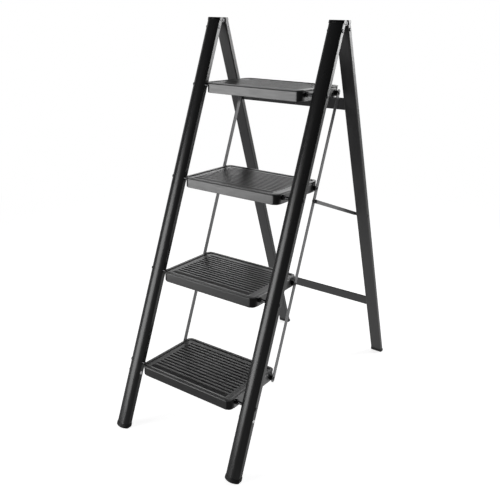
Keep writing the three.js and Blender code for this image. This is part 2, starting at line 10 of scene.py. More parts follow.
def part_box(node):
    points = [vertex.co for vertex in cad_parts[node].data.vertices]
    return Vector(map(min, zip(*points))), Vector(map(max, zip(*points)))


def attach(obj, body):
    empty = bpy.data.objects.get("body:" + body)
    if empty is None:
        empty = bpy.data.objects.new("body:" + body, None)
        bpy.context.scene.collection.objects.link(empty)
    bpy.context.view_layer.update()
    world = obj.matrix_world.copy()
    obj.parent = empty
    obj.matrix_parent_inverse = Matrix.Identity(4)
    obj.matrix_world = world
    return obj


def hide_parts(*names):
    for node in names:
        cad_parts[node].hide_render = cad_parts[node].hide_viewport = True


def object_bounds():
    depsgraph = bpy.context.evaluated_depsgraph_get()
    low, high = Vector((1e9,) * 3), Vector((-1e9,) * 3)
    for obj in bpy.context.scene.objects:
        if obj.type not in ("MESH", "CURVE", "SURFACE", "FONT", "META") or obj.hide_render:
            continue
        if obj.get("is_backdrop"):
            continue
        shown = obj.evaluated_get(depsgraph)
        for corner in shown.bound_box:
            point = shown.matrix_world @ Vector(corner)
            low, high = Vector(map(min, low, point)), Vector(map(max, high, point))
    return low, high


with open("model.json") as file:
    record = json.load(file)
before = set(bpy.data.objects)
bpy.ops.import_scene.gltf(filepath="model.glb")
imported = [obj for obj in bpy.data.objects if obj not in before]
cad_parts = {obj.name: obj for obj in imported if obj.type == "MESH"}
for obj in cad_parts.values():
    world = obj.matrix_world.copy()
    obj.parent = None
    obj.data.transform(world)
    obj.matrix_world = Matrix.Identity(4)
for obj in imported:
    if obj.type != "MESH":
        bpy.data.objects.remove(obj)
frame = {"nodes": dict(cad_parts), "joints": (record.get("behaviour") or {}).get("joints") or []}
cad_low, cad_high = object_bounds()
joints = {joint["name"]: joint for joint in frame["joints"]}

# ---- Dimensions in millimetres -------------------------------------------------------------
RAIL = {"width": 40.5, "side": 12.5, "crown": 6.5, "fillet": 1.5}
RAIL_WALL = 1.5
LEG = {"width": 36.5, "side": 14.0, "crown": 3.5, "fillet": 3.0}
LEG_WALL = 1.4
PIN_DEPTH = 3.0
EDGE_ROUND = 1.1
GAP = 0.3
SHOE_WALL = 1.2
SHOE_HEIGHT = 10.0
SHOE_SOLE = 3.0
SHOE_PLUG = 40.0
CAP_COLLAR = 8.0
LEG_COLLAR = 12.5
CAP_SEAT = 4.0
CAP_PLUG = 45.0
KNUCKLE_RADIUS = 5.8
KNUCKLE_MIDDLE = 13.0
KNUCKLE_NECK = 6.0
PIN_RADIUS = 3.0
SHOULDER_RADIUS = 4.0
SMALL_PIN_RADIUS = 2.5
HEAD_RADIUS = 4.6
HEAD_HEIGHT = 1.1
RIVET_HEAD = 1.8
RIVET_INNER_HEAD = 0.5
FRONT_PIN_HEAD = 2.0
HINGE_HEAD = 1.0
HEAD_SEAT = 0.05
TREAD_CORNER = 15.0
LIP_WIDTH = 9.0
LIP_RISE = 1.6
FRONT_SAG = 0.07
DECK_THICK = 1.6
SKIRT_WALL = 1.5
CORNER_FRONT = 13.0
CORNER_SIDE = 19.0
CORNER_DROP = 3.5
BRACKET_DROP = 7.9
SIDE_INSET = 1.0
GROOVE_COUNT = 13
GROOVE_PITCH = 12.5
GROOVE_WIDTH = 8.0
GROOVE_DEEP = 1.5
GROOVE_FLAT = 0.2
GROOVE_LENGTH = 254.0
FIRST_GROOVE = -2.0
FRONT_SLOPE = 12.5
FRONT_DEEP = 2.0
BOSS_RADIUS = 6.5
BOSS_REACH = 5.5
BRACE_WALL = 1.5
LINK_HALF = 1.25
LINK_DEPTH = 12.5
LINK_OVERRUN = 4.0
SPREADER_DEPTH = 10.0


def spot(name):
    """A joint's place in millimetres."""
    return Vector(joints[name]["pos_m"]) * 1000


def span(node):
    """Lowest corner, highest corner and centre of a CAD node, in millimetres."""
    low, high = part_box(node)
    return low * 1000, high * 1000, (low + high) * 500


# ---- Working frames: x across, y = depth, z = along, all in millimetres -----------------------
METRES = Matrix.Scale(0.001, 4)
pins = [spot(f"tread_{i}_fold") for i in (1, 2, 3, 4)]
lean = pins[3] - pins[0]
RAIL_ANGLE = math.atan2(lean.y, lean.z)
HINGE = spot("rear_fold")
HEIGHT = cad_high.z * 1000


def leaning_frame(point, depth, angle):
    """Frame whose z leans by angle and whose origin is on the floor; point lies at that depth."""
    along = (point.z - depth * math.sin(angle)) / math.cos(angle)
    foot = point.y + along * math.sin(angle) - depth * math.cos(angle)
    return Matrix.Translation((0, foot, 0)) @ Matrix.Rotation(angle, 4, "X")


rail_frame = leaning_frame(pins[0], PIN_DEPTH, -RAIL_ANGLE)
stud = span("left_spreader_stud")[2]


def leg_angle():
    """The leg's lean, from its mid-depth line through the stud and the cap rivet."""
    rivet = span("left_leg_cap_rivet")[2]
    return math.atan2(stud.y - rivet.y, rivet.z - stud.z)


LEG_ANGLE = leg_angle()
leg_frame = leaning_frame(stud, LEG["side"] / 2, LEG_ANGLE)


def local(space, point):
    return space.inverted() @ Vector(point)


# ---- Materials -----------------------------------------------------------------------------
def new_material(name, colour, roughness, metallic, coat=0.0, coat_rough=0.15):
    material = bpy.data.materials.new(name)
    material.use_nodes = True
    tree = material.node_tree
    shader = tree.nodes["Principled BSDF"]
    shader.inputs["Base Color"].default_value = (*colour, 1)
    shader.inputs["Roughness"].default_value = roughness
    shader.inputs["Metallic"].default_value = metallic
    shader.inputs["Coat Weight"].default_value = coat
    shader.inputs["Coat Roughness"].default_value = coat_rough
    return material, tree, shader


def noise(tree, scale, stretch=(1, 1, 1), detail=3.0):
    """Noise in object space; stretch below one draws it out along that axis."""
    place = tree.nodes.new("ShaderNodeTexCoord")
    mapping = tree.nodes.new("ShaderNodeMapping")
    mapping.inputs["Scale"].default_value = stretch
    tree.links.new(place.outputs["Object"], mapping.inputs["Vector"])
    node = tree.nodes.new("ShaderNodeTexNoise")
    node.inputs["Scale"].default_value = scale
    node.inputs["Detail"].default_value = detail
    tree.links.new(mapping.outputs["Vector"], node.inputs["Vector"])
    return node.outputs["Fac"]


def remap(tree, value, low, high):
    node = tree.nodes.new("ShaderNodeMapRange")
    node.inputs["From Min"].default_value = 0.3
    node.inputs["From Max"].default_value = 0.7
    node.inputs["To Min"].default_value = low
    node.inputs["To Max"].default_value = high
    tree.links.new(value, node.inputs["Value"])
    return node.outputs["Result"]


def blend_colours(tree, factor, first, second):
    node = tree.nodes.new("ShaderNodeMix")
    node.data_type = "RGBA"
    tree.links.new(factor, node.inputs["Factor"])
    node.inputs["A"].default_value = (*first, 1)
    node.inputs["B"].default_value = (*second, 1)
    return node.outputs["Result"]


def bump(tree, shader, height, strength, distance):
    node = tree.nodes.new("ShaderNodeBump")
    node.inputs["Strength"].default_value = strength
    node.inputs["Distance"].default_value = distance
    tree.links.new(height, node.inputs["Height"])
    tree.links.new(node.outputs["Normal"], shader.inputs["Normal"])
    return node


def edge_mask(tree, low=0.52, high=0.62):
    """One on sharp convex edges, zero elsewhere."""
    place = tree.nodes.new("ShaderNodeNewGeometry")
    node = tree.nodes.new("ShaderNodeMapRange")
    node.inputs["From Min"].default_value = low
    node.inputs["From Max"].default_value = high
    tree.links.new(place.outputs["Pointiness"], node.inputs["Value"])
    return node.outputs["Result"]


def painted(name, dark, light, rough, grain, stretch, shine=0.5, vary=0.15):
    """Satin paint: faint drawn-out tone variation, fine orange peel, lighter sharp convex edges."""
    material, tree, shader = new_material(name, dark, rough, 0.0)
    shader.inputs["Specular IOR Level"].default_value = shine
    streaks = noise(tree, grain, stretch)
    tone = blend_colours(tree, remap(tree, streaks, 0, 1), dark, light)
    # Sharp convex edges get a lighter tone, 2.2 times the light paint colour.
    edge_lift = tree.nodes.new("ShaderNodeMix")
    edge_lift.data_type = "RGBA"
    tree.links.new(edge_mask(tree), edge_lift.inputs["Factor"])
    tree.links.new(tone, edge_lift.inputs["A"])
    edge_lift.inputs["B"].default_value = (*[min(1.0, c * 2.2) for c in light], 1)
    tree.links.new(edge_lift.outputs["Result"], shader.inputs["Base Color"])
    gloss = remap(tree, noise(tree, grain * 0.4, stretch),
                  rough * (1 - vary), rough * (1 + vary))
    tree.links.new(gloss, shader.inputs["Roughness"])
    bump(tree, shader, noise(tree, 1400), 0.04, 0.0003)
    return material


def plastic(name, colour, rough, shine, grain):
    """Moulded plastic with a fine spark-eroded grain."""
    material, tree, shader = new_material(name, colour, rough, 0.0)
    shader.inputs["Specular IOR Level"].default_value = shine
    tone = blend_colours(tree, remap(tree, noise(tree, 35), 0, 1),
                         colour, [c * 1.6 for c in colour])
    tree.links.new(tone, shader.inputs["Base Color"])
    tree.links.new(remap(tree, noise(tree, 120), rough * 0.9, rough * 1.15),
                   shader.inputs["Roughness"])
    bump(tree, shader, noise(tree, 2600, detail=2), grain, 0.0004)
    return material


def steel(name, colour, rough):
    """Turned steel: fine rings of tone across the pin."""
    material, tree, shader = new_material(name, colour, rough, 1.0)
    rings = noise(tree, 900, (1, 0.15, 0.15))
    tone = blend_colours(tree, remap(tree, rings, 0, 1),
                         [c * 0.75 for c in colour], [min(1, c * 1.2) for c in colour])
    tree.links.new(tone, shader.inputs["Base Color"])
    tree.links.new(remap(tree, rings, rough * 0.8, rough * 1.3), shader.inputs["Roughness"])
    bump(tree, shader, rings, 0.05, 0.0003)
    return material


RAIL_PAINT = painted("rail_paint", (0.0055, 0.0055, 0.0057), (0.0085, 0.0085, 0.0088),
                     0.27, 30, (1, 1, 0.3), vary=0.05)
LEG_PAINT = painted("leg_paint", (0.007, 0.007, 0.0073), (0.013, 0.013, 0.0135),
                    0.36, 90, (6, 1, 0.12), vary=0.12)
SKIRT_PAINT = painted("tread_paint", (0.008, 0.008, 0.0083), (0.013, 0.013, 0.0135),
                      0.38, 160, (0.5, 3, 3), shine=1.0, vary=0.1)
BAR_PAINT = painted("bar_paint", (0.07, 0.07, 0.072), (0.11, 0.11, 0.113),
                    0.38, 80, (2, 2, 0.3), shine=0.8)
PLASTIC = plastic("black_plastic", (0.003, 0.003, 0.0032), 0.5, 0.35, 0.2)
CAP_PLASTIC = plastic("cap_plastic", (0.003, 0.003, 0.0032), 0.28, 0.5, 0.05)
BRIGHT_STEEL = steel("bright_steel", (0.55, 0.55, 0.56), 0.25)
DARK_STEEL = steel("dark_steel", (0.05, 0.05, 0.052), 0.25)
BLACK_STEEL = steel("black_steel", (0.012, 0.012, 0.0125), 0.35)


# ---- Mesh helpers --------------------------------------------------------------------------
def as_object(name, verts, faces, space=Matrix.Identity(4)):
    """Mesh object from local millimetre points; the vertices are baked into the row frame."""
    mesh = bpy.data.meshes.new(name)
    matrix = METRES @ space
    mesh.from_pydata([matrix @ Vector(v) for v in verts], [], faces)
    mesh.update()
    obj = bpy.data.objects.new(name, mesh)
    bpy.context.scene.collection.objects.link(obj)
    tidy = bmesh.new()
    tidy.from_mesh(mesh)
    bmesh.ops.recalc_face_normals(tidy, faces=tidy.faces)
    tidy.to_mesh(mesh)
    tidy.free()
    return obj


def loft(name, loops, space=Matrix.Identity(4), ring=False):
    """Skins equal-length loops; the ends are closed by faces, or joined to each other (ring)."""
    count = len(loops[0])
    verts = [point for loop in loops for point in loop]
    faces = []
    last = len(loops) if ring else len(loops) - 1
    for i in range(last):
        a, b = i * count, ((i + 1) % len(loops)) * count
        for j in range(count):
            k = (j + 1) % count
            faces.append((a + j, a + k, b + k, b + j))
    if not ring:
        faces.append(tuple(reversed(range(count))))
        faces.append(tuple(range((len(loops) - 1) * count, len(loops) * count)))
    return as_object(name, verts, faces, space)


def apply_modifiers(obj):
    view = bpy.context.evaluated_depsgraph_get()
    mesh = bpy.data.meshes.new_from_object(obj.evaluated_get(view))
    obj.modifiers.clear()
    old = obj.data
    obj.data = mesh
    bpy.data.meshes.remove(old)


def boolean(obj, others, operation):
    """Cuts, joins or intersects obj with the others, which are used up."""
    for other in others:
        modifier = obj.modifiers.new("boolean", "BOOLEAN")
        modifier.operation = operation
        modifier.solver = "EXACT"
        modifier.object = other
    apply_modifiers(obj)
    for other in others:
        mesh = other.data
        bpy.data.objects.remove(other)
        bpy.data.meshes.remove(mesh)
    return obj


def soften(obj, width, segments=2, angle=35):
    """Rounds every sharp edge by width millimetres."""
    modifier = obj.modifiers.new("bevel", "BEVEL")
    modifier.width = width / 1000
    modifier.segments = segments
    modifier.limit_method = "ANGLE"
    modifier.angle_limit = math.radians(angle)
    modifier.harden_normals = False
    apply_modifiers(obj)
    return obj


def finish_piece(obj, material, body, nodes=(), smooth=32):
    """Cleans the mesh, shades it, gives it its material and fixes it to its CAD body."""
    mesh = obj.data
    clean = bmesh.new()
    clean.from_mesh(mesh)
    bmesh.ops.remove_doubles(clean, verts=clean.verts, dist=2e-6)
    bmesh.ops.dissolve_degenerate(clean, edges=clean.edges, dist=1e-6)
    clean.to_mesh(mesh)
    clean.free()
    mesh.materials.clear()
    mesh.materials.append(material)
    for face in mesh.polygons:
        face.material_index = 0
    mesh.shade_smooth()
    mesh.set_sharp_from_angle(angle=math.radians(smooth))
    modifier = obj.modifiers.new("normals", "WEIGHTED_NORMAL")
    modifier.keep_sharp = True
    apply_modifiers(obj)
    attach(obj, body)
    if nodes:
        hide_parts(*nodes)
    return obj


def rounded(corners, steps=4):
    """Closed outline from (x, y, radius) corners, each rounded to its radius."""
    points = []
    for i, (x, y, radius) in enumerate(corners):
        here = Vector((x, y))
        if radius <= 0:
            points.append(here)
            continue
        back = (Vector(corners[i - 1][:2]) - here).normalized()
        ahead = (Vector(corners[(i + 1) % len(corners)][:2]) - here).normalized()
        half = back.angle(ahead) / 2
        reach = radius / math.tan(half)
        centre = here + (back + ahead).normalized() * (radius / math.sin(half))
        start = here + back * reach - centre
        end = here + ahead * reach - centre
        turn = start.angle_signed(end)
        for k in range(steps + 1):
            step = start.copy()
            step.rotate(Matrix.Rotation(-turn * k / steps, 2))
            points.append(centre + step)
    return points


def crowned(section, grow=0.0, grow_back=None, steps=18):
    """Outline of a tube: curved front towards -y, straight sides, flat filleted back."""
    width, crown = section["width"], section["crown"]
    radius = (width ** 2 / 4 + crown ** 2) / (2 * crown)
    half = width / 2 + grow
    arc = radius + grow
    reach = math.asin(half / arc)
    back = section["side"] + (grow if grow_back is None else grow_back)
    corners = []
    for i in range(steps + 1):
        turn = -reach + 2 * reach * i / steps
        edge = max(EDGE_ROUND + grow, 0.2) if i in (0, steps) else 0
        corners.append((arc * math.sin(turn), radius - crown - arc * math.cos(turn), edge))
    corner = max(section["fillet"] + grow, 0.5)
    corners += [(half, back, corner), (-half, back, corner)]
    return rounded(corners)


def as_drawn(points):
    return points


def turned_round(points):
    """The leg's outline: the same section with its curved face at the back."""
    return [Vector((-p.x, LEG["side"] - p.y)) for p in points]


def square_loop(points, x, z):
    return [(p.x + x, p.y, z) for p in points]


def level_loop(points, x, height, angle):
    """Loop cut by the horizontal plane at that height, in a frame leaning by angle."""
    return [(p.x + x, p.y, (height - p.y * math.sin(angle)) / math.cos(angle)) for p in points]


def cross_rod(name, radius, x0, x1, y, z, space=Matrix.Identity(4), count=24):
    ring = [(y + radius * math.cos(2 * math.pi * i / count),
             z + radius * math.sin(2 * math.pi * i / count)) for i in range(count)]
    return loft(name, [[(x, a, b) for a, b in ring] for x in (x0, x1)], space)


def turned_pin(name, steps, y, z, space=Matrix.Identity(4), count=28):
    """Turned pin along x from (x, radius) steps."""
    loops = []
    for x, radius in steps:
        loops.append([(x, y + radius * math.cos(2 * math.pi * i / count),
                       z + radius * math.sin(2 * math.pi * i / count)) for i in range(count)])
    return loft(name, loops, space)


def dome(x, way, radius=HEAD_RADIUS, height=HEAD_HEIGHT, steps=5):
    """Domed head from its seat outwards: short cylinder, then a curve to a small flat."""
    rim = height * 0.35
    points = [(x, radius * 0.94), (x + way * 0.15, radius), (x + way * rim, radius)]
    for i in range(1, steps + 1):
        turn = i / steps * math.radians(72)
        points.append((x + way * (rim + (height - rim) * math.sin(turn) / math.sin(math.radians(72))),
                       radius * math.cos(turn)))
    return points


def mirror_steps(steps):
    return [(-x, radius) for x, radius in reversed(steps)]


def box_piece(name, x0, x1, y0, y1, z0, z1, space=Matrix.Identity(4)):
    loops = [[(x0, y0, z), (x1, y0, z), (x1, y1, z), (x0, y1, z)] for z in (z0, z1)]
    return loft(name, loops, space)


# ---- Frames: rails, legs, caps and feet -------------------------------------------------------
def tube(name, section, wall, x, low, end, space, angle, outline, holes):
    """Hollow tube with its bore holes, level at the foot and square at the top."""
    outer = outline(crowned(section))
    inner = outline(crowned(section, -wall))
    loops = [
        level_loop(outer, x, low, angle),
        square_loop(outer, x, end),
        square_loop(inner, x, end),
        level_loop(inner, x, low, angle),
    ]
    obj = loft(name, loops, space, ring=True)
    wide = section["width"] / 2 + 5
    cutters = [cross_rod("cutter", radius, x - wide, x + wide, y, z, space)
               for y, z, radius in holes]
    return boolean(obj, cutters, "DIFFERENCE")


def cap_body(name, section, wall, x, cut, space, angle, outline):
    """Cap: a proud collar open behind, seated over the tube's end, with a plug inside it."""
    top = HEIGHT
    end = cut + CAP_SEAT + GAP
    lower = outline(crowned(section, SHOE_WALL - 0.3, 0.01))
    proud = outline(crowned(section, SHOE_WALL, 0.02))
    brow = outline(crowned(section, SHOE_WALL - 0.15, -0.1))
    crest = outline(crowned(section, SHOE_WALL - 0.5, -0.4))
    collar = loft(name, [
        square_loop(lower, x, cut),
        square_loop(proud, x, cut + 0.35),
        level_loop(proud, x, top - 0.5, angle),
        level_loop(brow, x, top - 0.15, angle),
        level_loop(crest, x, top, angle),
    ], space)
    seat = outline(crowned(section, GAP))
    plug = outline(crowned(section, -wall - GAP))
    pocket = loft("cutter", [square_loop(seat, x, z) for z in (cut - 20, end)], space)
    boolean(collar, [pocket], "DIFFERENCE")
    core = loft("core", [square_loop(plug, x, z) for z in (end - CAP_PLUG, end + GAP)], space)
    return boolean(collar, [core], "UNION")


def knuckle(name, neck, x0, x1):
    """Hinge barrel round the hinge axis with a straight neck towards the tube."""
    way = 1 if neck > HINGE.y else -1
    loops = []
    for x, inset in ((x0, 0.5), (x0 + 0.15, 0.15), (x0 + 0.5, 0),
                     (x1 - 0.5, 0), (x1 - 0.15, 0.15), (x1, 0.5)):
        radius = KNUCKLE_RADIUS - inset
        ring = []
        for i in range(17):
            turn = math.pi / 2 + math.pi * i / 16
            ring.append((x, HINGE.y + way * radius * math.cos(turn),
                         HINGE.z + radius * math.sin(turn)))
        ring += [(x, neck, HINGE.z - radius), (x, neck, HINGE.z + radius)]
        loops.append(ring)
    return loft(name, loops)


def shoe(name, section, wall, x, space, angle, outline):
    """Foot: rounded sole, proud wall, seat round the tube and a plug inside it."""
    def at(grow, height):
        return level_loop(outline(crowned(section, grow)), x, height, angle)

    return loft(name, [
        at(SHOE_WALL - 1.9, 0),
        at(SHOE_WALL - 0.9, 0.25),
        at(SHOE_WALL - 0.25, 0.9),
        at(SHOE_WALL, 2.0),
        at(SHOE_WALL, SHOE_HEIGHT - 0.5),
        at(SHOE_WALL - 0.4, SHOE_HEIGHT),
        at(GAP, SHOE_HEIGHT),
        at(GAP, SHOE_SOLE),
        at(-wall - GAP, SHOE_SOLE),
        at(-wall - GAP, SHOE_PLUG),
    ], space)


def rivet(name, width, x, y, z, space):
    """Rivet through both walls of a tube: a domed head outside, a low flat one inside."""
    seat = width / 2 + HEAD_SEAT
    outside = dome(seat, 1, height=RIVET_HEAD)
    inside = mirror_steps(dome(seat, 1, height=RIVET_INNER_HEAD))
    steps = [*inside, (-seat, SMALL_PIN_RADIUS), (seat, SMALL_PIN_RADIUS), *outside]
    if x < 0:
        steps = mirror_steps(steps)
    return turned_pin(name, [(x + a, r) for a, r in steps], y, z, space)


SIDES = (("left", -1), ("right", 1))

for side, way in SIDES:
    body = "front_frame"
    rail_x = span(f"{side}_front_rail")[2].x
    leg_x = span(f"{side}_rear_leg")[2].x
    cap_rivet = local(rail_frame, span(f"{side}_rail_cap_rivet")[2])
    low_rivet = local(rail_frame, span(f"{side}_rail_lower_rivet")[2])
    cut = HEIGHT / math.cos(RAIL_ANGLE) - CAP_COLLAR
    holes = [(PIN_DEPTH, local(rail_frame, (0, p.y, p.z)).z, PIN_RADIUS + GAP) for p in pins]
    holes += [(r.y, r.z, SMALL_PIN_RADIUS + GAP) for r in (cap_rivet, low_rivet)]
    rail = tube(f"{side}_rail_tube", RAIL, RAIL_WALL, rail_x, SHOE_SOLE + GAP, cut + CAP_SEAT,
                rail_frame, -RAIL_ANGLE, as_drawn, holes)
    finish_piece(rail, RAIL_PAINT, body, [f"{side}_front_rail"])

    cap = cap_body(f"{side}_rail_top_cap", RAIL, RAIL_WALL, rail_x, cut,
                   rail_frame, -RAIL_ANGLE, as_drawn)
    outer = KNUCKLE_MIDDLE / 2 + GAP
    half = LEG["width"] / 2
    neck = HINGE.y - KNUCKLE_RADIUS - KNUCKLE_NECK
    boolean(cap, [knuckle("lug", neck, leg_x - half, leg_x - outer),
                  knuckle("lug", neck, leg_x + outer, leg_x + half)], "UNION")
    boolean(cap, [
        cross_rod("cutter", PIN_RADIUS + GAP, leg_x - 30, leg_x + 30, HINGE.y, HINGE.z),
        cross_rod("cutter", SMALL_PIN_RADIUS + GAP, rail_x - 30, rail_x + 30,
                  cap_rivet.y, cap_rivet.z, rail_frame),
    ], "DIFFERENCE")
    finish_piece(cap, CAP_PLASTIC, body, [f"{side}_rail_cap"])

    foot = shoe(f"{side}_front_shoe", RAIL, RAIL_WALL, rail_x, rail_frame, -RAIL_ANGLE, as_drawn)
    finish_piece(foot, PLASTIC, body, [f"{side}_front_foot"])
    finish_piece(rivet(f"{side}_rail_top_rivet", RAIL["width"], rail_x, cap_rivet.y, cap_rivet.z,
                       rail_frame), DARK_STEEL, body, [f"{side}_rail_cap_rivet"])
    finish_piece(rivet(f"{side}_rail_low_rivet", RAIL["width"], rail_x, low_rivet.y, low_rivet.z,
                       rail_frame), BRIGHT_STEEL, body, [f"{side}_rail_lower_rivet"])
    seat = half + HEAD_SEAT
    head = dome(seat, 1, height=HINGE_HEAD)
    steps = [*mirror_steps(head), (-seat, PIN_RADIUS), (seat, PIN_RADIUS), *head]
    pin = turned_pin(f"{side}_hinge_rivet", [(leg_x + a, r) for a, r in steps],
                     HINGE.y, HINGE.z)
    finish_piece(pin, DARK_STEEL, body, [f"{side}_hinge_pin"])

    body = "rear_frame"
    top_rivet = local(leg_frame, span(f"{side}_leg_cap_rivet")[2])
    stud_at = local(leg_frame, span(f"{side}_spreader_stud")[2])
    leg_cut = HEIGHT / math.cos(LEG_ANGLE) - LEG_COLLAR
    holes = [(r.y, r.z, SMALL_PIN_RADIUS + GAP) for r in (top_rivet, stud_at)]
    leg = tube(f"{side}_leg_tube", LEG, LEG_WALL, leg_x, SHOE_SOLE + GAP, leg_cut + CAP_SEAT,
               leg_frame, LEG_ANGLE, turned_round, holes)
    finish_piece(leg, LEG_PAINT, body, [f"{side}_rear_leg"])

    cap = cap_body(f"{side}_leg_top_cap", LEG, LEG_WALL, leg_x, leg_cut,
                   leg_frame, LEG_ANGLE, turned_round)
    middle = KNUCKLE_MIDDLE / 2
    neck = HINGE.y + KNUCKLE_RADIUS + KNUCKLE_NECK
    boolean(cap, [knuckle("lug", neck, leg_x - middle, leg_x + middle)], "UNION")
    boolean(cap, [
        cross_rod("cutter", PIN_RADIUS + GAP, leg_x - 30, leg_x + 30, HINGE.y, HINGE.z),
        cross_rod("cutter", SMALL_PIN_RADIUS + GAP, leg_x - 30, leg_x + 30,
                  top_rivet.y, top_rivet.z, leg_frame),
    ], "DIFFERENCE")
    finish_piece(cap, CAP_PLASTIC, body, [f"{side}_leg_cap"])
    foot = shoe(f"{side}_rear_shoe", LEG, LEG_WALL, leg_x, leg_frame, LEG_ANGLE, turned_round)
    finish_piece(foot, PLASTIC, body, [f"{side}_rear_foot"])
    finish_piece(rivet(f"{side}_leg_top_rivet", LEG["width"], leg_x, top_rivet.y, top_rivet.z,
                       leg_frame), DARK_STEEL, body, [f"{side}_leg_cap_rivet"])
    low, high, _ = span(f"{side}_spreader_stud")
    inner, outside = sorted((abs(low.x), abs(high.x)))
    wall_in = abs(leg_x) - half
    wall_out = abs(leg_x) + half
    steps = [(inner, HEAD_RADIUS * 0.9), (inner + 0.5, HEAD_RADIUS), (wall_in - 0.1, HEAD_RADIUS),
             (wall_in - 0.1, SMALL_PIN_RADIUS), (wall_out + HEAD_SEAT, SMALL_PIN_RADIUS),
             *dome(wall_out + HEAD_SEAT, 1)]
    finish_piece(turned_pin(f"{side}_leg_stud", steps if way > 0 else mirror_steps(steps),
                            stud_at.y, stud_at.z, leg_frame),
                 DARK_STEEL, body, [f"{side}_spreader_stud"])

# ---- Braces --------------------------------------------------------------------------------
for name in ("upper", "lower"):
    node = f"{name}_rear_brace"
    corners = [local(leg_frame, (0, v.co.y * 1000, v.co.z * 1000))
               for v in frame["nodes"][node].data.vertices]
    front, back = min(c.y for c in corners), max(c.y for c in corners)
    low, high = min(c.z for c in corners), max(c.z for c in corners)
    half = span(node)[1].x
    wall = BRACE_WALL
    ring = rounded([
        (front, high, 1.4), (front, low, 1.4), (back, low, 0.5), (back, low + wall, 0.5),
        (front + wall, low + wall, 0.4), (front + wall, high - wall, 0.4),
        (back, high - wall, 0.5), (back, high, 0.5),
    ])
    obj = loft(f"{name}_brace", [[(x, p.x, p.y) for p in ring] for x in (-half, half)], leg_frame)
    finish_piece(obj, LEG_PAINT, "rear_frame", [node])

# ---- Treads --------------------------------------------------------------------------------
def ridge_depth(x, y):
    """Depth of the groove pattern at a point of the deck, measured from the tread's pin."""
    front = FIRST_GROOVE + GROOVE_WIDTH / 2
    if y < front:
        fade = min(1.0, max(0.0, (GROOVE_LENGTH / 2 - abs(x)) / (GROOVE_WIDTH / 2)))
        return FRONT_DEEP * fade * min(1.0, (front - y) / FRONT_SLOPE)
    index = round((y - FIRST_GROOVE) / GROOVE_PITCH)
    if index < 0 or index >= GROOVE_COUNT:
        return 0.0
    across = abs(y - FIRST_GROOVE - index * GROOVE_PITCH)
    beyond = max(0.0, abs(x) - (GROOVE_LENGTH / 2 - GROOVE_WIDTH / 2))
    away = math.hypot(across, beyond) / (GROOVE_WIDTH / 2)
    slope = min(1.0, max(0.0, (1 - away) / (1 - GROOVE_FLAT)))
    return GROOVE_DEEP * slope * slope * (3 - 2 * slope)


